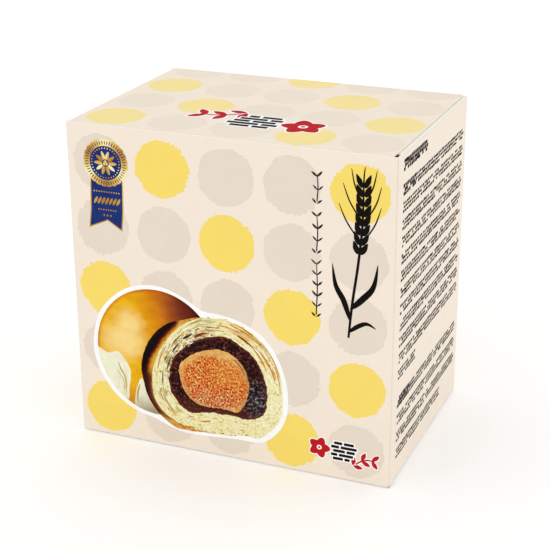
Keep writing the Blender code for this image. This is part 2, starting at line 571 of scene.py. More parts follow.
def ragged_dots_tree():
    """Lays a round of ink on each point. Its rim moves in waves, and in teeth where the ink tore."""
    numbers = ["Radius", "Thickness", "Seed", "Wobble size", "Wobble", "Tooth size", "Tooth", "Torn patch"]
    tree, start, end = new_tree("ragged dots", numbers, ["Sides"])
    rounds = on_points(tree, start["Geometry"], plate(tree, start, start["Radius"]))
    plain = add_node(tree, "GeometryNodeRealizeInstances", {"Geometry": rounds}).outputs[0]
    position = add_node(tree, "GeometryNodeInputPosition").outputs[0]
    normal = add_node(tree, "GeometryNodeInputNormal").outputs[0]
    place, sideways = [vector_maths(tree, "MULTIPLY", vector, (1, 1, 0)) for vector in (position, normal)]
    outwards = vector_maths(tree, "NORMALIZE", sideways)
    seed = start["Seed"]
    waves = times(tree, noise_height(tree, place, start["Wobble size"], seed), start["Wobble"])
    torn = between(tree, noise_height(tree, place, start["Torn patch"], seed), -0.1, 0.25, 0.3, 1.5)
    tooth = times(tree, torn, start["Tooth"])
    teeth = times(tree, noise_height(tree, place, start["Tooth size"], seed), tooth)
    shift = vector_maths(tree, "SCALE", outwards, Scale=plus(tree, waves, teeth))
    end_tree(tree, end, shifted(tree, plain, shift), start["Ink"])
    return tree


def grow(sheet, tree, values, points, lines=()):
    """Adds to a sheet of ink what a tree makes on bare points, or on points joined into lines."""
    carrier_mesh = bpy.data.meshes.new("carrier")
    carrier_mesh.from_pydata([tuple(point) for point in points], lines, [])
    carrier = new_piece("carrier", carrier_mesh, [])
    growth = carrier.modifiers.new(tree.name, "NODES")
    growth.node_group = tree
    for socket in tree.interface.items_tree:
        if socket.in_out == "INPUT" and socket.name in values:
            growth[socket.identifier] = values[socket.name]
    mesh = plain_mesh(carrier)
    sheet.from_mesh(mesh)
    bpy.data.meshes.remove(mesh)


def end_at_cut_edges(sheet):
    """Draws ink that would pass the side of an end panel back to the panel's cut edge."""
    for vert in sheet.verts:
        if vert.co.x > BACK_CREASE and not FOLD_RADIUS < vert.co.y < HEIGHT - FOLD_RADIUS:
            vert.co.x = min(max(vert.co.x, PANEL_SIDES[0]), PANEL_SIDES[1])


def islands(sheet):
    """The faces of each closed body of ink."""
    unseen = set(sheet.faces)
    while unseen:
        found, waiting = [], [unseen.pop()]
        while waiting:
            face = waiting.pop()
            found.append(face)
            neighbours = {other for edge in face.edges for other in edge.link_faces} & unseen
            unseen -= neighbours
            waiting += neighbours
        yield found


def face_outwards(sheet):
    """Turns each body of ink, however thin, so that its faces point out of it."""
    bmesh.ops.recalc_face_normals(sheet, faces=sheet.faces)
    for faces in islands(sheet):
        origin = faces[0].verts[0].co.copy()
        volume = 0.0
        for face in faces:
            first, *others = [vert.co - origin for vert in face.verts]
            for second, third in zip(others, others[1:]):
                volume += first.dot(second.cross(third))
        if volume < 0:
            bmesh.ops.reverse_faces(sheet, faces=faces)


def print_on_board(name, sheet, finishes):
    """Folds a sheet of flat ink round the board's creases and makes it a piece."""
    end_at_cut_edges(sheet)
    cut_at_creases(sheet)
    fold(sheet)
    face_outwards(sheet)
    mesh = bpy.data.meshes.new(name)
    sheet.to_mesh(mesh)
    sheet.free()
    return new_piece(name, mesh, finishes)


def ink_colour(ink, lid_glare_ink=None, cloud=2):
    """A flat ink, slightly cloudy, with fine specks where it missed a fibre, and perhaps a paler copy of
    it on the lid, which is painted glare from the light falling on the top.
    """
    def colour_of(tree, place):
        # Painted glare on the lid, growing over its fold
        glare_on_lid = 0.0
        if lid_glare_ink:
            glare_on_lid = between(tree, part(tree, place, "Z"), HEIGHT - FOLD_RADIUS, HEIGHT - LID_GLARE_DEPTH)
        printed = blend(tree, glare_on_lid, ink, lid_glare_ink or ink)
        shade = spread(tree, mottle(tree, place, 110, 4), cloud / 100, 0)
        clouded = blend(tree, shade, printed, (0, 0, 0))
        missed = between(tree, mottle(tree, place, 2600, 2, 0.5), 0.7, 0.76, 0, 0.2)
        return blend(tree, missed, clouded, CREAM)
    return colour_of


def make_dots(name, yellow, ink):
    values = {"Ink": ink, "Sides": DOT_SIDES, "Radius": DOT_RADIUS, "Thickness": 2 * INK}
    values |= {"Seed": YELLOW_SEED if yellow else GREY_SEED, "Torn patch": DOT_TORN_PATCH}
    values |= {"Wobble size": DOT_WOBBLE[0], "Wobble": DOT_WOBBLE[1]}
    values |= {"Tooth size": DOT_TEETH[0], "Tooth": DOT_TEETH[1]}
    sheet = bmesh.new()
    grow(sheet, ragged_dots, values, dot_centres(yellow))
    return print_on_board(name, sheet, [ink])


ragged_dots = ragged_dots_tree()
yellow_ink = new_finish("yellow ink", ink_colour(YELLOW_INK, LID_GLARE_YELLOW_INK))
grey_ink = new_finish("warm grey ink", ink_colour(GREY_INK, LID_GLARE_GREY_INK))
dots_yellow = make_dots("dots_yellow", True, yellow_ink)
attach(dots_yellow, "root")
dots_grey = make_dots("dots_grey", False, grey_ink)
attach(dots_grey, "root")


# Picture of the pastries, on the front and again on the back. A whole glazed pastry stands behind a halved
# one, cut out along a white border. Each field is flat ink, and its shading is a blend or a grain in it.
FRONT_AND_BACK = (FRONT_ART, BACK_ART)
LAYER = 0.02 * MM
HAIR = 0.04
GRAIN_DRUM = 20
TEAR_DRUM, TEAR_NOISE = 7, (0.4, 2, 4)
LOOP_POINTS = 240
PICTURE_CENTRE = (55, 90)
WHITE_BORDER = (
    (6.3, 82), (8.4, 72.5), (12.8, 65.8), (19.5, 60.2), (27, 57.4), (35, 57.2), (43, 59.8), (50, 63.6),
    (57, 64.1), (65, 65.7), (73, 69.9), (79, 78), (82.1, 88), (82.1, 97.5), (79.4, 104.6), (75, 109.4),
    (70.5, 111.4), (62, 111.6), (46, 112.9), (38, 112), (30.5, 109.3), (23, 107.5), (15, 102.7),
    (9.5, 95.5), (6.8, 88.5),
)
WHOLE_CENTRE, WHOLE_RADII = (32, 83), (24, 24.5)
BARE_DOUGH = (
    ((7, 84.6), (8.8, 84.6), (12.2, 86), (16.4, 85), (20.4, 90), (21, 93.8), (20.2, 98.4), (19, 104),
     (11, 100)),
    ((25.8, 94.2), (23.7, 97.1), (22.7, 100.6), (22.6, 106), (28, 109), (34, 109), (31, 101.5)),
)
# The halved pastry's edges, each as angles in degrees and radii about the picture's centre
CRUST = (
    (-180, 29.5), (-165, 29.0), (-150, 28.1), (-135, 26.9), (-120, 25.0), (-102, 24.3), (-75, 24.5),
    (-45, 25.0), (-15, 25.0), (15, 25.8), (30, 26.1), (48, 25.3), (60, 22.5), (75, 21.2), (90, 21.0),
    (105, 22.0), (118, 24.6), (130, 27.3), (145, 28.6), (160, 29.3),
)
FLAKY_DOUGH = (
    (-180, 24.9), (-165, 23.8), (-150, 23.2), (-135, 23.0), (-120, 23.6), (-100, 24.2), (-75, 24.7),
    (-45, 25.3), (-15, 25.3), (15, 26.1), (30, 26.4), (48, 25.6), (60, 22.6), (75, 21.1), (90, 20.9),
    (105, 21.5), (118, 23.3), (130, 24.7), (142, 26.3), (155, 26.9), (167, 26.0),
)
BEAN_PASTE = (
    (-180, 18.4), (-160, 17.6), (-145, 16.7), (-125, 16.3), (-105, 16.7), (-88, 17.4), (-72, 18.5),
    (-45, 18.6), (-22, 19.0), (0, 19.6), (20, 20.4), (32, 20.3), (42, 18.6), (52, 16.2), (62, 14.2),
    (75, 13.0), (92, 12.6), (108, 13.8), (120, 16.0), (130, 18.0), (148, 19.0), (165, 18.9),
)
YOLK = (
    (-180, 14.2), (-165, 14.6), (-150, 13.6), (-130, 12.6), (-108, 11.9), (-85, 12.6), (-60, 13.0),
    (-30, 13.0), (0, 12.7), (25, 12.8), (42, 13.4), (55, 13.2), (70, 11.2), (88, 10.4), (108, 11.3),
    (130, 12.8), (155, 13.7),
)


def smooth(points, closed=True, steps=8):
    """A smooth line through the points. Each stretch is a cubic that heads along its neighbours."""
    count = len(points)
    line = []
    for span in range(count if closed else count - 1):
        places = [span + shift for shift in (-1, 0, 1, 2)]
        places = [place % count if closed else min(max(place, 0), count - 1) for place in places]
        before, start, end, after = [Vector(points[place]) for place in places]
        for step in range(steps):
            share = step / steps
            bend = 2 * before - 5 * start + 4 * end - after
            twist = 3 * start - before - 3 * end + after
            line.append((2 * start + (end - before) * share + bend * share ** 2 + twist * share ** 3) / 2)
    return line if closed else line + [Vector(points[-1])]


def even_loop(edge, share=1.0, ragged=0.0):
    """The smooth loop through an edge's angles and radii, as points at equal angles.

    The share draws it in towards the centre, and ragged is how far noise moves it in and out.
    """
    centre = Vector(PICTURE_CENTRE)
    away = [point - centre for point in smooth([around(*place, centre) for place in edge])]
    polar = sorted((math.atan2(point.y, point.x), point.length) for point in away)
    (first, first_radius), (last, last_radius) = polar[0], polar[-1]
    polar = [(last - 2 * math.pi, last_radius)] + polar + [(first + 2 * math.pi, first_radius)]
    angles = [angle for angle, radius in polar]
    loop = []
    for step in range(LOOP_POINTS):
        angle = 2 * math.pi * step / LOOP_POINTS - math.pi
        after = bisect.bisect_right(angles, angle)
        (start, low), (end, high) = polar[after - 1], polar[after]
        radius = low + (high - low) * (angle - start) / (end - start)
        noise_place = Vector((TEAR_DRUM * math.cos(angle), TEAR_DRUM * math.sin(angle), low))
        torn = solid_noise.fractal(noise_place, *TEAR_NOISE)
        loop.append(around(math.degrees(angle), share * radius + ragged * torn, centre))
    return loop


def kept_on_whole(points):
    """The outline with what lies off the whole pastry drawn back to the pastry's edge."""
    kept = []
    for x, y in points:
        away = Vector(((x - WHOLE_CENTRE[0]) / WHOLE_RADII[0], (y - WHOLE_CENTRE[1]) / WHOLE_RADII[1]))
        shrink = 1 / max(1, away.length)
        kept.append(tuple(Vector(WHOLE_CENTRE).lerp(Vector((x, y)), shrink)))
    return kept


def oval(centre, radii, points=96):
    ring = []
    for step in range(points):
        turn = 2 * math.pi * step / points
        ring.append((centre[0] + radii[0] * math.cos(turn), centre[1] + radii[1] * math.sin(turn)))
    return ring


def new_sheet():
    """An empty sheet of flat ink. Its points carry their place in the artwork and along a grain."""
    sheet = bmesh.new()
    sheet.verts.layers.float_vector.new("artwork")
    sheet.verts.layers.float_vector.new("grain")
    return sheet


def add_ring(sheet, points, art, lift, depth=0.0):
    """A ring of points at one height. Its grain runs round a drum, at this depth along the drum's axis."""
    artwork = sheet.verts.layers.float_vector["artwork"]
    grain = sheet.verts.layers.float_vector["grain"]
    ring = []
    for step, (x, y) in enumerate(points):
        turn = 2 * math.pi * step / len(points)
        vert = sheet.verts.new(on_art(art, x, y, lift))
        vert[artwork] = (x, y, 0)
        vert[grain] = (GRAIN_DRUM * math.cos(turn), GRAIN_DRUM * math.sin(turn), depth)
        ring.append(vert)
    return ring


def join_rings(sheet, first, second):
    for here in range(len(first)):
        sheet.faces.new((first[here - 1], first[here], second[here], second[here - 1]))


def add_field(sheet, points, art, layer):
    """A closed flat field of ink, from a little under the board's surface up to its layer."""
    low = add_ring(sheet, points, art, -INK_SINK)
    high = add_ring(sheet, points, art, layer * LAYER)
    join_rings(sheet, low, high)
    sheet.faces.new(low)
    sheet.faces.new(high)


def add_band(sheet, first, last, art, layer, rows=4):
    """A closed flat band of ink between two loops. Its grain's depth grows from the first to the last."""
    top = layer * LAYER
    rings = [add_ring(sheet, first, art, -INK_SINK)]
    for row in range(rows + 1):
        points = [edge.lerp(core, row / rows) for edge, core in zip(first, last)]
        depths = [(edge - core).length for edge, core in zip(first, last)]
        ring = add_ring(sheet, points, art, top)
        grain = sheet.verts.layers.float_vector["grain"]
        for vert, depth in zip(ring, depths):
            vert[grain] = (vert[grain].x, vert[grain].y, depth * row / rows)
        rings.append(ring)
    rings.append(add_ring(sheet, last, art, -INK_SINK))
    for here in range(len(rings)):
        join_rings(sheet, rings[here - 1], rings[here])


def add_fields(sheet, layer, ink, *outlines, arts=FRONT_AND_BACK):
    """Fields of one of a sheet's inks, on each of these panels, each a hair above the last."""
    for art in arts:
        for number, points in enumerate(outlines):
            first_face = len(sheet.faces)
            add_field(sheet, points, art, layer + HAIR * number)
            sheet.faces.ensure_lookup_table()
            for face in sheet.faces[first_face:]:
                face.material_index = ink


def minus(tree, first, second):
    return maths(tree, "SUBTRACT", first, second)


def tinted(tree, colour, tint):
    return blend(tree, 1.0, colour, tint, "MULTIPLY")


def artwork_axes(tree):
    place = attribute(tree, "artwork", "Vector")
    return place, part(tree, place, "X"), part(tree, place, "Y")


def grain_axes(tree):
    place = attribute(tree, "grain", "Vector")
    return place, part(tree, place, "Z")


def ramp(tree, value, stops):
    """A colour that changes along a value. Each stop is a value and its screen colour."""
    start, end = stops[0][0], stops[-1][0]
    limits = {"Value": value, "From Min": start, "From Max": end}
    share = add_node(tree, "ShaderNodeMapRange", limits).outputs[0]
    node = add_node(tree, "ShaderNodeValToRGB", {"Fac": share})
    elements = node.color_ramp.elements
    while len(elements) < len(stops):
        elements.new(0.5)
    for element, (stop, colour) in zip(elements, stops):
        element.position = (stop - start) / (end - start)
        element.color = linear(colour)
    return node.outputs["Color"]


def blob(tree, place, centre, radii, soft=0.4):
    """1 inside an oval of the artwork, and 0 outside it, with a soft rim."""
    away = vector_maths(tree, "SUBTRACT", place, (*centre, 0))
    scaled = vector_maths(tree, "DIVIDE", away, (*radii, 1))
    distance = add_node(tree, "ShaderNodeVectorMath", {0: scaled}, operation="LENGTH").outputs["Value"]
    return between(tree, distance, 1 - soft, 1 + soft, 1, 0)


def warped(tree, place, scale, reach):
    """The artwork's place, shifted by cloudy noise, so that a plain shape gets an uneven rim."""
    noise = {"Vector": place, "Scale": scale, "Detail": 3.0}
    cloud = add_node(tree, "ShaderNodeTexNoise", noise).outputs["Color"]
    centred = vector_maths(tree, "SUBTRACT", cloud, (0.5, 0.5, 0.5))
    shift = vector_maths(tree, "MULTIPLY", centred, (2 * reach, 2 * reach, 0))
    return vector_maths(tree, "ADD", place, shift)


def stretched_noise(tree, place, stretch, scale, detail=3.0, roughness=0.6):
    """Noise of an artwork place or a grain place, with each axis stretched by its own factor."""
    return mottle(tree, vector_maths(tree, "DIVIDE", place, stretch), scale, detail, roughness)


def white_colour(tree, place):
    return blend(tree, spread(tree, mottle(tree, place, 200, 3)), (250, 250, 249), (254, 254, 254))


def glaze_colour(tree, place):
    """Egg glaze: gold at the left, baked brown and then black-red at the right, with a pale reflection."""
    art, _, y = artwork_axes(tree)
    art_warped = warped(tree, art, 0.12, 2.2)
    across = part(tree, art_warped, "X")
    sunk = times(tree, minus(tree, y, 62.0), 0.18)
    baked = ramp(tree, minus(tree, across, sunk), (
        (8, (242, 188, 50)), (17, (241, 186, 22)), (22, (236, 176, 12)), (28, (224, 152, 10)),
        (33, (206, 120, 18)), (37, (162, 80, 28)), (41, (120, 50, 26)), (46, (86, 26, 18)),
        (50, (44, 8, 8)),
    ))
    streaks = spread(tree, stretched_noise(tree, art, (3.5, 1.6, 1), 0.5, 3, 0.5))
    brushed = blend(tree, streaks, tinted(tree, baked, (240, 230, 206)), baked)
    glow_place = warped(tree, art, 0.16, 2.2)
    wide_glow = blob(tree, glow_place, (19, 80), (7.6, 6.2), 0.6)
    high_glow = blob(tree, glow_place, (21, 73.5), (4.6, 5.2), 0.7)
    glow = maths(tree, "MAXIMUM", wide_glow, high_glow)
    mottled = spread(tree, mottle(tree, art, 0.4, 4), 0.8, 1.0)
    lit = blend(tree, times(tree, glow, mottled), brushed, (248, 218, 142))
    rim = blob(tree, art, WHOLE_CENTRE, [radius * 0.965 for radius in WHOLE_RADII], 0.035)
    edge = tinted(tree, lit, (236, 196, 150))
    drip = blend(tree, between(tree, y, 94, 105), lit, (203, 126, 26))
    low = blend(tree, between(tree, y, 86, 100, 0, 0.85), lit, drip)
    return blend(tree, rim, edge, low)


def dough_colour(tree, place):
    """Bare dough under the glaze: ivory, a little green, with fine curved folds and a shaded foot."""
    art, x, y = artwork_axes(tree)
    ivory = blend(tree, spread(tree, mottle(tree, art, 0.35, 4)), (234, 231, 200), (243, 242, 218))
    folds = stretched_noise(tree, warped(tree, art, 0.1, 1.5), (1.6, 8, 1), 0.5, 1)
    creases = between(tree, maths(tree, "ABSOLUTE", minus(tree, folds, 0.5)), 0.0, 0.02, 0.5, 0)
    near_edge = between(tree, x, 13, 18)
    folded_dough = blend(tree, times(tree, creases, near_edge), ivory, (196, 178, 112))
    foot = between(tree, plus(tree, y, times(tree, x, 0.35)), 107, 119, 0, 0.85)
    return blend(tree, foot, folded_dough, (136, 110, 60))


def crust_colour(tree, place):
    """The halved pastry's baked skin, edge on: gold by the dough, then burnt, browner towards its foot."""
    art, x, y = artwork_axes(tree)
    grain, depth = grain_axes(tree)
    cloud = minus(tree, mottle(tree, art, 0.5, 3), 0.5)
    way_out = plus(tree, depth, times(tree, cloud, 1.2))
    burnt = ramp(tree, minus(tree, way_out, between(tree, y, 79, 87, 0, 0.9)), (
        (0.7, (210, 164, 44)), (1.3, (202, 130, 20)), (1.8, (154, 74, 12)), (2.3, (84, 16, 10)),
        (2.8, (34, 3, 4)), (3.5, (10, 0, 0)), (5.0, (20, 4, 4)),
    ))
    browned = ramp(tree, way_out, (
        (0.7, (190, 150, 70)), (1.3, (128, 66, 28)), (1.9, (92, 36, 16)), (2.7, (66, 14, 8)),
        (3.8, (44, 8, 4)),
    ))
    left = blend(tree, between(tree, y, 88, 93), burnt, browned)
    toast = spread(tree, stretched_noise(tree, grain, (2, 2, 1), 0.9, 4))
    golden = blend(tree, toast, (186, 104, 34), (226, 182, 84))
    pale = maths(tree, "MAXIMUM", between(tree, x, 39.5, 42), between(tree, y, 106, 110))
    return blend(tree, pale, left, golden)


def flaky_colour(tree, place):
    """Flaky dough, cut across: crumbly pale layers that run round the filling, with mustard between them.

    The layers show at the upper left, where some are torn and browned. The lower right is plain crumb.
    """
    art, x, y = artwork_axes(tree)
    grain, _ = grain_axes(tree)
    layers = stretched_noise(tree, grain, (2.6, 2.6, 0.75), 1.0, 5, 0.72)
    crumbs = mottle(tree, art, 0.95, 5, 0.72)
    low_right = between(tree, plus(tree, x, y), 138, 158, 0.35, 0.9)
    difference = minus(tree, crumbs, layers)
    mixed = plus(tree, layers, times(tree, difference, low_right))
    crumb = ramp(tree, mixed, (
        (0.3, (164, 128, 30)), (0.39, (212, 194, 98)), (0.46, (235, 228, 168)), (0.57, (243, 239, 205)),
        (0.7, (254, 252, 240)),
    ))
    at_foot = between(tree, y, 96, 108, 0, 0.3)
    foot = blend(tree, at_foot, crumb, tinted(tree, crumb, (252, 242, 222)))
    toasted = times(tree, blob(tree, art, (67, 68), (11, 4.5), 0.5), 0.4)
    golden = blend(tree, toasted, foot, tinted(tree, foot, (252, 230, 184)))
    at_left = times(tree, between(tree, x, 34, 42, 1, 0), between(tree, y, 88, 93, 0.1, 1.4))
    cracks = between(tree, stretched_noise(tree, grain, (1.8, 1.8, 0.9), 0.8, 4), 0.36, 0.44, 0.5, 0)
    cracked = blend(tree, times(tree, cracks, at_left), golden, (150, 116, 56))
    torn_place = blob(tree, warped(tree, art, 0.3, 0.8), (52.5, 87.5), (17.9, 17.7), 0.03)
    high_left = between(tree, plus(tree, x, y), 122, 132, 1, 0)
    tears = between(tree, stretched_noise(tree, grain, (1.7, 1.7, 0.9), 0.75, 4), 0.45, 0.55, 0, 0.62)
    browned = times(tree, times(tree, torn_place, tears), high_left)
    return blend(tree, browned, cracked, (140, 98, 46))


def bean_colour(tree, place):
    """Red bean paste: grainy and nearly black, dark red where it meets the dough, bluish at the right."""
    art, _, y = artwork_axes(tree)
    _, depth = grain_axes(tree)
    patches = spread(tree, mottle(tree, art, 0.35, 2), -0.06, 0.03)
    grains = plus(tree, mottle(tree, art, 1.0, 5, 0.75), patches)
    paste = ramp(tree, grains, (
        (0.34, (2, 0, 0)), (0.42, (14, 3, 5)), (0.5, (48, 13, 12)), (0.59, (98, 44, 36)),
        (0.7, (152, 112, 100)),
    ))
    redder = blend(tree, between(tree, y, 98, 101, 0, 0.28), paste, (112, 52, 40))
    cool = ramp(tree, grains, (
        (0.38, (4, 0, 0)), (0.45, (26, 14, 16)), (0.52, (72, 58, 62)), (0.6, (146, 136, 144)),
        (0.69, (214, 210, 216)),
    ))
    at_right = blob(tree, warped(tree, art, 0.3, 2.0), (71.2, 94.6), (5.2, 6.2), 0.5)
    cooled = blend(tree, at_right, redder, cool)
    rim = between(tree, depth, 0.0, 1.2, 0.85, 0)
    return blend(tree, rim, cooled, (104, 44, 26))


def yolk_colour(tree, place):
    """Salted yolk, cut across: grainy orange, with a paler rim and redder grains towards its foot."""
    art, x, y = artwork_axes(tree)
    grains = stretched_noise(tree, warped(tree, art, 0.4, 0.6), (1, 1.25, 1), 1.5, 4, 0.74)
    middle = ramp(tree, grains, (
        (0.37, (104, 12, 0)), (0.445, (184, 66, 14)), (0.52, (222, 131, 52)), (0.61, (252, 218, 134)),
    ))
    foot = ramp(tree, grains, (
        (0.37, (104, 12, 6)), (0.445, (174, 66, 34)), (0.53, (216, 144, 84)), (0.62, (254, 230, 176)),
    ))
    mixed = blend(tree, between(tree, y, 90, 99), middle, foot)
    patches = between(tree, stretched_noise(tree, art, (1, 1.6, 1), 0.34, 2), 0.42, 0.58, 0, 0.8)
    patchy = blend(tree, patches, mixed, tinted(tree, mixed, (250, 204, 170)))
    ripe = times(tree, blob(tree, art, (60, 86), (6, 4.5), 0.7), 0.25)
    ripened = blend(tree, ripe, patchy, (232, 164, 66))
    core = blob(tree, warped(tree, art, 0.25, 1.6), (54.5, 90.8), (12.7, 10.3), 0.12)
    rim = blend(tree, spread(tree, mottle(tree, art, 0.5, 4)), (216, 158, 78), (238, 196, 122))
    speckled = blend(tree, between(tree, grains, 0.38, 0.52, 0.45, 0), rim, (186, 88, 34))
    shaded = blend(tree, between(tree, x, 62, 66), speckled, tinted(tree, speckled, (226, 210, 208)))
    return blend(tree, core, shaded, ripened)


def print_fields(name, layer, finish, *fields):
    """A piece of flat fields of one ink, on the front and on the back."""
    sheet = new_sheet()
    add_fields(sheet, layer, 0, *fields)
    return print_on_board(name, sheet, [finish])


def print_band(name, layer, finish, first, last):
    sheet = new_sheet()
    for art in FRONT_AND_BACK:
        add_band(sheet, first, last, art, layer)
    return print_on_board(name, sheet, [finish])


white_ink = new_finish("white ink", white_colour)
glaze_inks = new_finish("glaze inks", glaze_colour)
dough_inks = new_finish("dough inks", dough_colour)
crust_inks = new_finish("crust inks", crust_colour)
flaky_inks = new_finish("flaky inks", flaky_colour)
bean_inks = new_finish("bean inks", bean_colour)
yolk_inks = new_finish("yolk inks", yolk_colour)
picture_border = print_fields("picture_border", 2, white_ink, smooth(WHITE_BORDER))
whole_pastry = print_fields("picture_whole_pastry", 3, glaze_inks, oval(WHOLE_CENTRE, WHOLE_RADII))
dough_patches = [kept_on_whole(smooth(patch)) for patch in BARE_DOUGH]
bare_dough = print_fields("picture_bare_dough", 4, dough_inks, *dough_patches)
# Each band runs on a little under the next ring in, so that no board shows between their ragged edges
crust_loops = even_loop(FLAKY_DOUGH, 0.97), even_loop(CRUST, 1, 0.12)
crust = print_band("picture_crust", 5, crust_inks, *crust_loops)
dough_loops = even_loop(FLAKY_DOUGH, 1, 0.15), even_loop(BEAN_PASTE, 0.95)
flaky_dough = print_band("picture_flaky_dough", 6, flaky_inks, *dough_loops)
paste_loops = even_loop(BEAN_PASTE, 1, 0.35), even_loop(YOLK, 0.93)
bean_paste = print_band("picture_bean_paste", 7, bean_inks, *paste_loops)
yolk = print_fields("picture_yolk", 8, yolk_inks, even_loop(YOLK, 1, 0.2))
for ink in (picture_border, whole_pastry, bare_dough, crust, flaky_dough, bean_paste, yolk):
    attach(ink, "root")


# Flakes in the pictured dough. Short dabs and fine lines of ink follow the layers round the filling, and
# longer strokes of brown and gold mark the gaps between torn layers. A few strokes are the folds in the
# whole pastry's bare dough.
FLAKE_LAYER = 7
GAP_LAYER = 8.5
FIRST_LINE_LAYER = 9.5
INK_HEIGHTS = (0.93, 1.07)
FLAKE_SEED = 20
LINES_SEED = 5
GAP_STEPS = 5
LINE_STEP = 3
# A stroke grows to its full width over this first share of its path, and thins from the next one on
STROKE_GROWS, STROKE_THINS = 0.3, 0.4
FLAKE_INKS = {
    "ochre": (208, 184, 98),
    "brown": (88, 40, 24),
    "russet": (136, 62, 30),
    "mustard": (186, 164, 84),
    "golden": (204, 134, 18),
    "ivory": (249, 247, 226),
}
# Each run: its ink, shares of the way in, arc in degrees, and its dabs' number, length, width and spread
FLAKE_RUNS = (
    ("ochre", (0.12, 0.3, 0.5, 0.7, 0.9), (-180, -30), 7, 1.5, 0.42, 1.2),
    ("ochre", (0.2, 0.5, 0.8), (-30, 60), 4, 1.3, 0.36, 1.2),
    ("ochre", (0.12, 0.35, 0.6, 0.85), (60, 180), 6, 1.7, 0.5, 1.2),
    ("ivory", (0.16, 0.4, 0.62, 0.84), (-180, 180), 14, 1.8, 0.44, 1.2),
    ("golden", (0.08, 0.2, 0.34, 0.5), (-150, -25), 7, 1.2, 0.28, 0.9),
    ("golden", (0.05, 0.2), (60, 130), 7, 0.9, 0.36, 0.5),
    ("brown", (0.1, 0.4), (-165, -45), 8, 0.8, 0.26, 0.8),
    ("brown", (0.88, 0.95), (-178, -92), 9, 0.9, 0.42, 0.5),
    ("ivory", (0.96,), (-150, -95), 9, 1.0, 0.45, 0.3),
    ("brown", (0.03,), (75, 128), 7, 0.8, 0.3, 0.25),
    ("brown", (0.55, 0.8), (125, 180), 4, 1.2, 0.34, 0.7),
)
# Each gap: its ink, its start and end in degrees, its radius at each, and its width
LAYER_GAPS = (
    ("brown", -176, -158, 19.2, 18.5, 0.42), ("brown", -153, -138, 18.9, 18.8, 0.6),
    ("brown", -131, -117, 19.1, 18.9, 0.85), ("russet", -117, -97, 18.0, 18.5, 0.8),
    ("russet", -66, -45, 20.9, 21.1, 0.75), ("brown", -55, -24, 12.0, 12.1, 0.34),
    ("brown", -146, -128, 20.4, 20.6, 0.3), ("brown", -100, -84, 20.6, 20.8, 0.28),
    ("golden", -46, -19, 20.9, 20.7, 0.6), ("golden", -108, -80, 19.3, 20.1, 0.4),
    ("golden", -72, -44, 23.3, 23.8, 0.5), ("golden", -62, -34, 24.3, 24.6, 0.4),
    ("golden", -88, -62, 22.0, 22.3, 0.34), ("golden", -34, -8, 22.4, 22.8, 0.4),
    ("golden", 98, 112, 16.2, 18.4, 0.5), ("golden", 114, 127, 21.8, 25.2, 0.6),
    ("golden", -24, 2, 24.4, 24.5, 0.36), ("golden", 134, 156, 23.0, 22.6, 0.5),
    ("brown", 168, 182, 21.4, 20.8, 0.4), ("golden", -178, -152, 23.0, 21.8, 0.4),
)
# Each fold: its ink, its width and its path
DOUGH_FOLDS = (
    ("mustard", 0.5, ((16.1, 89.1), (17.1, 91.9), (18.4, 94), (18.9, 96.6), (19, 99), (18.4, 102.3))),
    ("ochre", 0.3, ((15.4, 92.2), (17.6, 95.2), (18.2, 98.1), (17.5, 101.6))),
    ("mustard", 0.7, ((24.6, 96.5), (23.6, 99.9), (23.4, 102.6), (24.1, 104.9))),
)
# Each run of lines: its ink, number and arc, and its limits for share of the way in, angle and width
LAYER_LINES = (
    ("golden", 17, (-80, -6), (0.04, 0.55), (10, 26), (0.16, 0.34)),
    ("mustard", 13, (-180, -85), (0.1, 0.72), (8, 22), (0.16, 0.3)),
    ("brown", 4, (-178, -95), (0.35, 0.85), (5, 11), (0.2, 0.36)),
    ("mustard", 8, (100, 178), (0.15, 0.85), (6, 16), (0.2, 0.4)),
)


def slab(layer):
    """The middle and the thickness of flat ink on this layer, which reaches a little into the board."""
    return (layer * LAYER - INK_SINK) / 2, layer * LAYER + INK_SINK


def vector_of(tree, **axes):
    return add_node(tree, "ShaderNodeCombineXYZ", axes).outputs[0]


def random_number(tree, low, high, seed, number):
    """A random number for each point. The number tells one draw from the next with the same seed."""
    inputs = {2: low, 3: high, 8: plus(tree, seed, number)}
    return add_node(tree, "FunctionNodeRandomValue", inputs, data_type="FLOAT").outputs[1]


def within(tree, reach, seed, number):
    """A random number that is at most the reach away from zero, to either side."""
    return random_number(tree, times(tree, reach, -1), reach, seed, number)


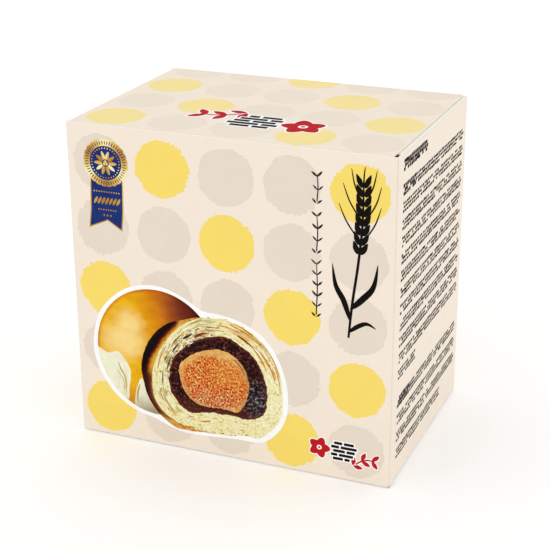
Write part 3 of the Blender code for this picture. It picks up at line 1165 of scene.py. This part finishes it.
def petals_tree():
    """Sets flat petals of ink along lines. Each lies along its line, or is turned from it by the tilt."""
    numbers = ("Length", "Width", "Thickness", "Taper", "Point", "Tilt", "Offset", "Spread", "Variation")
    tree, start, end = new_tree("petals along lines", numbers, ("Count", "Sides", "Seed"))
    seed = start["Seed"]
    lines = add_node(tree, "GeometryNodeMeshToCurve", {"Mesh": start["Geometry"]}).outputs[0]
    stops = {"Curve": lines, "Count": start["Count"]}
    along = add_node(tree, "GeometryNodeCurveToPoints", stops, mode="COUNT").outputs
    tangent = along["Tangent"]
    sideways = vector_maths(tree, "CROSS_PRODUCT", tangent, (0, 0, 1))
    shift = plus(tree, within(tree, start["Spread"], seed, 1), start["Offset"])
    offset = vector_maths(tree, "SCALE", sideways, Scale=shift)
    slip = vector_maths(tree, "SCALE", tangent, Scale=within(tree, start["Spread"], seed, 2))
    places = shifted(tree, along["Points"], vector_maths(tree, "ADD", offset, slip))

    corner = add_node(tree, "GeometryNodeInputPosition").outputs[0]
    x, y = part(tree, corner, "X"), part(tree, corner, "Y")
    ends = times(tree, maths(tree, "ABSOLUTE", x), start["Point"])
    narrowing = plus(tree, times(tree, x, start["Taper"]), ends)
    inwards = times(tree, times(tree, narrowing, y), -1)
    petal = shifted(tree, plate(tree, start, 1.0), vector_of(tree, Y=inwards))

    heading = maths(tree, "ARCTAN2", part(tree, tangent, "Y"), part(tree, tangent, "X"))
    turn = vector_of(tree, Z=plus(tree, heading, start["Tilt"]))
    rotation = add_node(tree, "FunctionNodeEulerToRotation", {0: turn}).outputs[0]
    least, most = minus(tree, 1.0, start["Variation"]), plus(tree, 1.0, start["Variation"])
    length = times(tree, start["Length"], random_number(tree, least, most, seed, 3))
    width = times(tree, start["Width"], random_number(tree, least, most, seed, 4))
    # Ink that overlaps its own kind lies a hair higher or lower, so that no two faces are level
    height = random_number(tree, *INK_HEIGHTS, seed, 5)
    size = vector_of(tree, X=times(tree, length, 0.5), Y=times(tree, width, 0.5), Z=height)
    end_tree(tree, end, on_points(tree, places, petal, Rotation=rotation, Scale=size), start["Ink"])
    return tree


def lines_on_art(lines, art, lift, closed):
    """The blank's points for lines of the artwork, and the edges that join them."""
    points, edges = [], []
    for line in lines:
        first = len(points)
        points += [on_art(art, x, y, lift) for x, y in line]
        edges += [(place, place + 1) for place in range(first, len(points) - 1)]
        if closed:
            edges.append((len(points) - 1, first))
    return points, edges


def grow_petals(sheet, finishes, lines, layer, ink, closed=False, arts=FRONT_AND_BACK, **values):
    """Adds petals along lines of the artwork to a sheet of ink. Lengths are in artwork millimetres."""
    middle, thickness = slab(layer)
    settings = {"Sides": 12, "Taper": 0.0, "Point": 0.0, "Tilt": 0.0, "Offset": 0.0, "Spread": 0.0}
    settings |= {"Variation": 0.0, "Seed": 1, "Thickness": thickness, "Ink": finishes[ink]} | values
    for label in ("Length", "Width", "Offset", "Spread"):
        settings[label] = settings[label] * MM
    artwork = sheet.verts.layers.float_vector["artwork"]
    for art in arts:
        first_vert, first_face = len(sheet.verts), len(sheet.faces)
        grow(sheet, petals_along_lines, settings, *lines_on_art(lines, art, middle, closed))
        sheet.verts.ensure_lookup_table()
        sheet.faces.ensure_lookup_table()
        for vert in sheet.verts[first_vert:]:
            place = art.inverted() @ vert.co / MM
            vert[artwork] = (place.x, -place.y, 0)
        for face in sheet.faces[first_face:]:
            face.material_index = ink


def arc_lines(outer, inner, shares, arc_degrees):
    """Lines between two edges, at these shares of the way in, along an arc about the picture's centre."""
    start, end = [round((angle + 180) / 360 * LOOP_POINTS) for angle in arc_degrees]
    lines = []
    for share in shares:
        loop = [edge.lerp(core, share) for edge, core in zip(even_loop(outer), even_loop(inner))]
        lines.append((loop + loop)[start:end])
    return lines


def stroke(path, width, start=0.3, end=0.05):
    """The outline of a brush stroke along a smooth path. Start and end are the width's shares there."""
    spine = smooth(path, closed=False)
    sides = [[], []]
    for place, point in enumerate(spine):
        along = spine[min(place + 1, len(spine) - 1)] - spine[max(place - 1, 0)]
        across = Vector((-along.y, along.x)).normalized()
        share = place / (len(spine) - 1)
        growing = start + (1 - start) * math.sin(math.pi / 2 * min(1, share / STROKE_GROWS))
        thinned = max(0, (share - STROKE_THINS) / (1 - STROKE_THINS))
        thinning = end + (1 - end) * math.cos(math.pi / 2 * thinned)
        for side, sign in zip(sides, (1, -1)):
            side.append(tuple(point + across * sign * width / 2 * min(growing, thinning)))
    return sides[0] + sides[1][::-1]


def plain_ink(name, colour, cloud=2):
    return new_finish(name, ink_colour(colour, cloud=cloud), shine=0.01)


def gap_stroke(start, end, first_radius, last_radius, width):
    """A tapered stroke along an arc about the picture's centre."""
    path = []
    for step in range(GAP_STEPS + 1):
        share = step / GAP_STEPS
        radius = first_radius + (last_radius - first_radius) * share
        path.append(around(start + (end - start) * share, radius, PICTURE_CENTRE))
    return stroke(path, width)


def layer_strokes(count, arc, shares, spans, widths, draw):
    """Tapered strokes that follow the dough's layers, their places and sizes drawn within the limits."""
    strokes = []
    for _ in range(count):
        span = draw.uniform(*spans)
        start = draw.uniform(arc[0], arc[1] - span)
        line = arc_lines(FLAKY_DOUGH, BEAN_PASTE, (draw.uniform(*shares),), (start, start + span))[0]
        strokes.append(stroke(line[::LINE_STEP] + line[-1:], draw.uniform(*widths), 0.2, 0.1))
    return strokes


def make_flakes():
    names = list(FLAKE_INKS)
    finishes = [plain_ink(f"{name} flake ink", colour) for name, colour in FLAKE_INKS.items()]
    sheet = new_sheet()
    for number, (name, shares, arc_degrees, count, length, width, reach) in enumerate(FLAKE_RUNS):
        grow_petals(
            sheet, finishes, arc_lines(FLAKY_DOUGH, BEAN_PASTE, shares, arc_degrees), FLAKE_LAYER,
            names.index(name), Count=count, Length=length, Width=width, Spread=reach, Variation=0.6,
            Point=0.6, Seed=FLAKE_SEED + number,
        )
    draw = random.Random(LINES_SEED)
    for number, (name, *limits) in enumerate(LAYER_LINES):
        add_fields(sheet, FIRST_LINE_LAYER + number, names.index(name), *layer_strokes(*limits, draw))
    for number, (name, *gap) in enumerate(LAYER_GAPS):
        add_fields(sheet, GAP_LAYER + HAIR * number, names.index(name), gap_stroke(*gap))
    for name, width, fold_path in DOUGH_FOLDS:
        add_fields(sheet, FLAKE_LAYER, names.index(name), stroke(fold_path, width))
    return print_on_board("picture_flakes", sheet, finishes)


petals_along_lines = petals_tree()
flakes = make_flakes()
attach(flakes, "root")


# Rosette, at the top left of the front and the back: a prize ribbon printed in gold and navy. It has a
# wide gold scalloped rim with navy pleats, a gold flower on a navy round, and a navy ribbon with a gold
# edge, beads and leaves.
GOLD, NAVY = range(2)
ROSETTE_CENTRE = (14.9, 13.9)
ROSETTE_RADIUS = 8.6
SCALLOPS = 24
SCALLOP_DEPTH = 0.3
SCALLOP_POINTS = 10
GOLD_STOPS = (
    (-0.9, (164, 112, 34)), (0.0, (216, 174, 76)), (0.7, (226, 188, 92)), (1.25, (252, 238, 176)),
)
GOLD_BANDS = 3.0
NAVY_INK = (27, 48, 112)
RIBBON = ((8.9, 19.5), (21.0, 19.5), (20.6, 31), (19.9, 37.6), (14.7, 34.4), (7.7, 37.6), (8.5, 31))
RIBBON_EDGE = 0.42
# Each round: its layer, its ink and its radius
ROSETTE_ROUNDS = ((8, NAVY, 6.1), (10, NAVY, 1.35), (11, GOLD, 0.95))
# Each ring: its layer, its ink, its radius, and its petals' number, length, width, tilt and point
ROSETTE_RINGS = (
    (7, NAVY, 7.25, 2 * SCALLOPS, 1.5, 0.34, math.pi / 2, 0.0),
    (9, GOLD, 5.35, 32, 0.5, 0.42, math.pi / 2, 0.0),
    (9, GOLD, 2.6, 10, 3.6, 1.3, math.pi / 2, 0.25),
)
# Each row on the ribbon: its middle, its ends, and its petals' number, length, width, tilt and point
RIBBON_ROWS = (
    (24.4, 9.9, 19.6, 11, 0.6, 0.6, 0.0, 0.3),
    (27.7, 10.4, 19.2, 7, 3.0, 1.05, math.pi / 2 - 0.5, 0.3),
    (31.0, 11.4, 18.0, 8, 0.6, 0.6, 0.0, 0.3),
    (33.0, 13.4, 16.0, 3, 0.9, 0.6, math.pi / 2, 0.3),
)


def gold_colour(tree, place):
    """Gold ink, shaded in bands round the rosette's centre as if it were foil."""
    art, x, y = artwork_axes(tree)
    away_x, away_y = minus(tree, x, ROSETTE_CENTRE[0]), minus(tree, y, ROSETTE_CENTRE[1])
    angle = maths(tree, "ARCTAN2", away_y, away_x)
    bands = maths(tree, "SINE", times(tree, angle, GOLD_BANDS))
    cloud = times(tree, mottle(tree, art, 0.8, 3), 0.6)
    return ramp(tree, plus(tree, bands, cloud), GOLD_STOPS)


def navy_colour(tree, place):
    return varied(tree, spread(tree, mottle(tree, place, 240, 3)), NAVY_INK, 5, 5)


def scalloped_rim():
    points = SCALLOPS * SCALLOP_POINTS
    rim = []
    for step in range(points):
        turn = 360 * step / points
        inwards = 1 - abs(math.sin(math.radians(turn) * SCALLOPS / 2))
        rim.append(tuple(around(turn, ROSETTE_RADIUS - SCALLOP_DEPTH * inwards, ROSETTE_CENTRE)))
    return rim


def grown(points, rim):
    """An outline with each side moved out by the rim's width."""
    moved = []
    for here, point in enumerate(points):
        before, after = Vector(points[here - 1]), Vector(points[(here + 1) % len(points)])
        point = Vector(point)
        normals = [Vector((side.y, -side.x)).normalized() for side in (point - before, after - point)]
        corner = (normals[0] + normals[1]) / (1 + normals[0].dot(normals[1]))
        moved.append(tuple(point + corner * rim))
    return moved


def make_rosette():
    finishes = [new_finish("gold ink", gold_colour, 0.4), new_finish("navy ink", navy_colour)]
    sheet = new_sheet()
    add_fields(sheet, 2, GOLD, grown(RIBBON, RIBBON_EDGE))
    add_fields(sheet, 3, NAVY, RIBBON)
    add_fields(sheet, 6, GOLD, scalloped_rim())
    for layer, ink, radius in ROSETTE_ROUNDS:
        add_fields(sheet, layer, ink, oval(ROSETTE_CENTRE, (radius, radius)))
    lines = []
    for middle, left, right, *sizes in RIBBON_ROWS:
        row = [(left, middle), ((left + right) / 2, middle), (right, middle)]
        lines.append((4, GOLD, row, False, sizes))
    for layer, ink, radius, *sizes in ROSETTE_RINGS:
        ring = oval(ROSETTE_CENTRE, (radius, radius), 144)
        lines.append((layer, ink, ring, True, sizes))
    for layer, ink, line, closed, sizes in lines:
        values = dict(zip(("Count", "Length", "Width", "Tilt", "Point"), sizes))
        grow_petals(sheet, finishes, [line], layer, ink, closed, Sides=16, **values)
    return print_on_board("rosette", sheet, finishes)


rosette = make_rosette()
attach(rosette, "root")


# Ear of wheat, down the right of the front and the back, drawn in black with a brush: a bent stem, a
# bearded ear and three long leaves. Three slim sprigs, stems with narrow leaves, stand in line beside it.
BLACK_INK = (24, 20, 19)
BROWN_BLACK_INK = (40, 34, 32)
STEM = ((104.2, 65), (105.4, 52), (107.2, 38), (108.4, 24), (108.6, 9.5))
STEM_WIDTH = 0.95
EAR = ((107.7, 32.5), (108.4, 24), (108.7, 16), (108.6, 9.5))
LEAVES = (
    (((104.6, 58.5), (102.4, 52), (99.4, 46.5), (98.2, 39.0)), 2.0),
    (((104.8, 54.5), (108.8, 50.5), (112.6, 45.5), (114.0, 37.4)), 2.2),
    (((104.2, 63), (107.4, 60.4), (110.6, 59.0), (113.8, 60.4)), 1.6),
)
BEARDS = (
    ((107.0, 14.6), (105.4, 10.6), (104.4, 5.6)), ((110.4, 14.6), (112.0, 10.6), (113.0, 5.6)),
    ((106.8, 21.4), (103.8, 16.6), (101.6, 10.8)), ((110.4, 21.4), (113.0, 16.6), (114.6, 10.8)),
    ((106.2, 28.4), (102.8, 23.6), (100.2, 17.8)), ((110.0, 28.4), (112.8, 23.6), (114.7, 17.8)),
    ((108.6, 9.8), (108.7, 7.4), (109.0, 4.6)),
)
SPRIG_X = 92.6
SPRIG_BEND = 0.35
# Each sprig: its foot, its tip and its pairs of leaves
SPRIGS = ((18.2, 8.9, 3), (35.6, 22.6, 4), (58.4, 39.4, 6))


def grow_pairs(sheet, finishes, line, layer, ink, tilt, offset, seeds, arts=FRONT_AND_BACK, **values):
    """Petals down both sides of a smooth line, turned from it by the tilt. Each side has its own seed."""
    for side, seed in zip((-1, 1), seeds):
        grow_petals(
            sheet, finishes, [smooth(line, closed=False)], layer, ink, arts=arts, Tilt=-side * tilt,
            Offset=side * offset, Seed=seed, **values,
        )


def make_wheat():
    finishes = [plain_ink("black ink", BLACK_INK, 3)]
    sheet = new_sheet()
    leaves = [stroke(path, width) for path, width in LEAVES]
    add_fields(sheet, 2, 0, stroke(STEM, STEM_WIDTH, 0.8, 0.6), *leaves)
    add_fields(sheet, 3, 0, *[stroke(path, 0.5, 1.0, 0.3) for path in BEARDS])
    grains = {"Count": 8, "Length": 4.7, "Width": 2.0, "Taper": 0.25, "Point": 0.3}
    grow_pairs(sheet, finishes, EAR, 4, 0, 0.42, 1.5, (7, 7), Variation=0.08, Sides=20, **grains)
    return print_on_board("wheat_ear", sheet, finishes)


def make_sprigs():
    finishes = [plain_ink("brown-black ink", BROWN_BLACK_INK, 3)]
    sheet = new_sheet()
    for foot, tip, pairs in SPRIGS:
        stem = ((SPRIG_X, foot), (SPRIG_X + SPRIG_BEND, (foot + tip) / 2), (SPRIG_X, tip))
        add_fields(sheet, 2, 0, stroke(stem, 0.42, 1.0, 0.5))
        leaves = {"Count": pairs, "Length": 2.4, "Width": 0.72, "Point": 0.4, "Variation": 0.15}
        grow_pairs(sheet, finishes, stem, 3, 0, 0.8, 0.95, (5, 5), **leaves)
    return print_on_board("slim_sprigs", sheet, finishes)


wheat_ear = make_wheat()
slim_sprigs = make_sprigs()
for ink in (wheat_ear, slim_sprigs):
    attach(ink, "root")


# Blossom marks: one at the foot of the front and of the back, and one nearly twice as large on the lid,
# upside down to the front. Each is a red blossom, a stack of short dark bars and a red spray of leaves, on
# a thin white edging.
RED_INK = (190, 31, 36)
BAR_INK = (30, 24, 23)
FRONT_MARK = ((90, 104), 1.0)
LID_MARK = ((87.6, 70.7), 1.94)
BLOSSOM_CENTRE = (4.1, 4.4)
CORE_RADII, CORE_DOT_RADII = (0.9, 0.9), (0.42, 0.42)
PETAL_PATH = 2.3
PETAL_SIZE = (3.6, 3.1)
LEAF_SIZE = (3.4, 1.7)
LEAF_TILT, LEAF_OFFSET = 0.8, 1.35
EDGING = 0.4
# Each row of bars: its middle, and the ends of its two bars
BAR_ROWS = (
    (1.5, (9.6, 12.6), (13.2, 16.8)), (3.0, (8.5, 11.4), (12.0, 17.9)), (4.5, (9.3, 13.6), (14.2, 17.2)),
    (6.0, (8.5, 10.8), (11.4, 16.6)), (7.5, (9.2, 12.9), (13.5, 15.4)),
)
BAR_HEIGHT = 1.05
SPRAY_WIDTH = 0.6
SPRAY = ((17.6, 8.4), (19.8, 6.8), (22.2, 6.0), (24.6, 6.2))
LEAF_PAIRS = 3


def mark_frame(art, corner, scale, turned=False):
    """The place of a mark's own artwork on a panel, from the mark's top left corner as it stands."""
    place = art @ Matrix.Translation((corner[0] * MM, -corner[1] * MM, 0))
    turn = Matrix.Rotation(math.pi if turned else 0, 4, "Z")
    return place @ turn @ Matrix.Diagonal((scale, scale, 1, 1))


def bar_outline(left, right, middle, rim=0.0):
    low, high = middle - BAR_HEIGHT / 2 - rim, middle + BAR_HEIGHT / 2 + rim
    return [(left - rim, low), (right + rim, low), (right + rim, high), (left - rim, high)]


def add_mark(sheet, finishes, frame):
    red, dark, white = range(3)
    scale = frame.to_scale().x
    ring = oval(BLOSSOM_CENTRE, (PETAL_PATH, PETAL_PATH), 60)

    def with_rim(size, rim):
        return {"Length": (size[0] + 2 * rim) * scale, "Width": (size[1] + 2 * rim) * scale}

    def fields(layer, ink, *outlines):
        add_fields(sheet, layer, ink, *outlines, arts=[frame])

    for layer, ink, rim in ((2, white, EDGING), (3, red, 0)):
        grow_petals(
            sheet, finishes, [ring], layer, ink, True, [frame], Count=5, Taper=-0.3, Tilt=-math.pi / 2,
            Sides=28, **with_rim(PETAL_SIZE, rim),
        )
        grow_pairs(
            sheet, finishes, SPRAY, layer, ink, -LEAF_TILT, -LEAF_OFFSET * scale, (1, 3), [frame],
            Count=LEAF_PAIRS, Point=0.35, Sides=20, **with_rim(LEAF_SIZE, rim),
        )
        fields(layer + 0.5, ink, stroke(SPRAY, SPRAY_WIDTH + 2 * rim, 0.8, 0.6))
    bars = [(left, right, middle) for middle, *ends in BAR_ROWS for left, right in ends]
    fields(3.8, white, *[bar_outline(*bar, EDGING) for bar in bars])
    fields(5, dark, *[bar_outline(*bar) for bar in bars])
    fields(4, white, oval(BLOSSOM_CENTRE, CORE_RADII, 32))
    fields(5, red, oval(BLOSSOM_CENTRE, CORE_DOT_RADII, 24))


def make_marks():
    finishes = [plain_ink("red ink", RED_INK, 4), plain_ink("bar ink", BAR_INK, 3)]
    finishes.append(new_finish("edging ink", white_colour))
    sheet = new_sheet()
    for art in (FRONT_ART, BACK_ART):
        add_mark(sheet, finishes, mark_frame(art, *FRONT_MARK))
    add_mark(sheet, finishes, mark_frame(LID_ART, *LID_MARK, turned=True))
    return print_on_board("blossom_marks", sheet, finishes)


blossom_marks = make_marks()
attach(blossom_marks, "root")


# Small print on the right wall, as rows of a plain border. Each row is three courses of small dark bricks,
# staggered from course to course, and bolder in the heading and at the start of each paragraph.
PRINT_INK = (28, 23, 22)
BRICK = 2.0
BOLD_BRICKS = 7
BRICK_JITTER = 0.13 * MM
BRICKS_KEPT = 0.92
PLAIN_SEED, BOLD_SEED = 31, 32
# Each paragraph: the middle of its first row, its rows, their pitch, and the last row's end
PARAGRAPHS = ((13.1, 12, 6.0, 25.0), (89.5, 4, 6.55, 59.0))
ROW_ENDS = (6.0, 78.6)
HEADING = (4.8, 5.9, 32.1)
COURSES = (-1.35, 0.0, 1.35)
PLAIN_LENGTHS, BOLD_LENGTHS = (1.2, 1.9), (1.5, 2.0)
PLAIN_HEIGHTS, BOLD_HEIGHTS = (0.78, 1.04), (1.16, 1.32)


def brick_points(middle, left, right):
    """The middles of the bricks of one row, at equal steps in each course and staggered by half a step."""
    points = []
    for number, course in enumerate(COURSES):
        first = left + BRICK / 2 * (1 + number % 2)
        count = int((right - first) / BRICK) + 1
        points += [(first + BRICK * step, middle + course) for step in range(count)]
    return points


def dashes_tree():
    """Sets a flat dash of ink on each point that a draw keeps, with its size drawn between two limits."""
    numbers = ("Shortest", "Longest", "Lowest", "Highest", "Thickness", "Jitter", "Share")
    tree, start, end = new_tree("dashes on points", numbers, ["Seed"])
    seed = start["Seed"]
    kept = maths(tree, "LESS_THAN", random_number(tree, 0.0, 1.0, seed, 1), start["Share"])
    sideways, upwards = [within(tree, start["Jitter"], seed, number) for number in (2, 6)]
    places = shifted(tree, start["Geometry"], vector_of(tree, X=sideways, Y=upwards))
    length = random_number(tree, start["Shortest"], start["Longest"], seed, 3)
    height = random_number(tree, start["Lowest"], start["Highest"], seed, 4)
    thickness = times(tree, start["Thickness"], random_number(tree, *INK_HEIGHTS, seed, 5))
    size = vector_of(tree, X=length, Y=height, Z=thickness)
    dash = add_node(tree, "GeometryNodeMeshCube", {"Size": (1.0, 1.0, 1.0)}).outputs["Mesh"]
    dashes = on_points(tree, places, dash, Selection=kept, Scale=size)
    end_tree(tree, end, dashes, start["Ink"])
    return tree


def add_dashes(sheet, points, ink, across, down, seed):
    """Adds dashes of these least and greatest sizes across and down to the sheet."""
    middle, thickness = slab(1)
    labels = ("Shortest", "Longest", "Lowest", "Highest")
    values = {label: size * MM for label, size in zip(labels, across + down)}
    values |= {"Thickness": thickness, "Jitter": BRICK_JITTER, "Share": BRICKS_KEPT}
    values |= {"Seed": seed, "Ink": ink}
    grow(sheet, dashes_on_points, values, [on_art(SIDE_ART, x, y, middle) for x, y in points])


def make_small_print():
    ink = plain_ink("print ink", PRINT_INK, 3)
    bold = brick_points(*HEADING)
    plain = []
    left, right = ROW_ENDS
    for first, rows, pitch, last_end in PARAGRAPHS:
        bold_end = left + BOLD_BRICKS * BRICK
        bold += brick_points(first, left, bold_end)
        plain += brick_points(first, bold_end, right)
        for row in range(1, rows):
            plain += brick_points(first + row * pitch, left, right if row < rows - 1 else last_end)
    sheet = bmesh.new()
    add_dashes(sheet, plain, ink, PLAIN_LENGTHS, PLAIN_HEIGHTS, PLAIN_SEED)
    add_dashes(sheet, bold, ink, BOLD_LENGTHS, BOLD_HEIGHTS, BOLD_SEED)
    return print_on_board("small_print", sheet, [ink])


dashes_on_points = dashes_tree()
small_print = make_small_print()
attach(small_print, "root")


# Floor and light, which aren't part of the carton. A plain pale floor, a white surround and two large
# soft lights, so that the front, the side and the lid are nearly equally bright, as in the photograph.
FLOOR_SIZE = 8
FLOOR_DROP = 0.1 * MM
FLOOR_COLOUR = (253, 253, 253)
FLOOR_GLOW = 0.07
SURROUND_STRENGTH = 0.98
# Each light: its place, its size and its power
KEY_LIGHT = (Vector((-0.9, -1.1, 1.3)), 0.9, 0.3)
FILL_LIGHT = (Vector((1.3, -0.6, 0.7)), 0.8, 0.5)


def floor_colour(tree, place):
    return varied(tree, spread(tree, mottle(tree, place, 3, 2)), FLOOR_COLOUR, 0, 1)


def make_floor():
    mesh_data = bmesh.new()
    bmesh.ops.create_grid(mesh_data, x_segments=1, y_segments=1, size=FLOOR_SIZE / 2)
    bmesh.ops.translate(mesh_data, vec=(0, 0, -FLOOR_DROP), verts=mesh_data.verts)
    mesh = bpy.data.meshes.new("floor")
    mesh_data.to_mesh(mesh)
    mesh_data.free()
    finish = new_finish("pale floor", floor_colour, 0.8, 0)
    shader = finish.node_tree.nodes["Principled BSDF"]
    shader.inputs["Emission Color"].default_value = (1, 1, 1, 1)
    shader.inputs["Emission Strength"].default_value = FLOOR_GLOW
    return new_piece("floor", mesh, [finish])


def add_soft_light(name, place, size, power):
    lamp = bpy.data.lights.new(name, "AREA")
    lamp.size = size
    lamp.energy = power
    light = bpy.data.objects.new(name, lamp)
    light.location = place
    light.rotation_mode = "QUATERNION"
    light.rotation_quaternion = (place - CAMERA_AIM).to_track_quat("Z", "Y")
    bpy.context.scene.collection.objects.link(light)


def light_the_room():
    world = bpy.data.worlds.new("surround")
    world.use_nodes = True
    background = world.node_tree.nodes["Background"]
    background.inputs["Color"].default_value = (1, 1, 1, 1)
    background.inputs["Strength"].default_value = SURROUND_STRENGTH
    bpy.context.scene.world = world
    add_soft_light("key light", *KEY_LIGHT)
    add_soft_light("fill light", *FILL_LIGHT)
    bpy.context.scene.view_settings.view_transform = "Standard"


make_floor()
light_the_room()
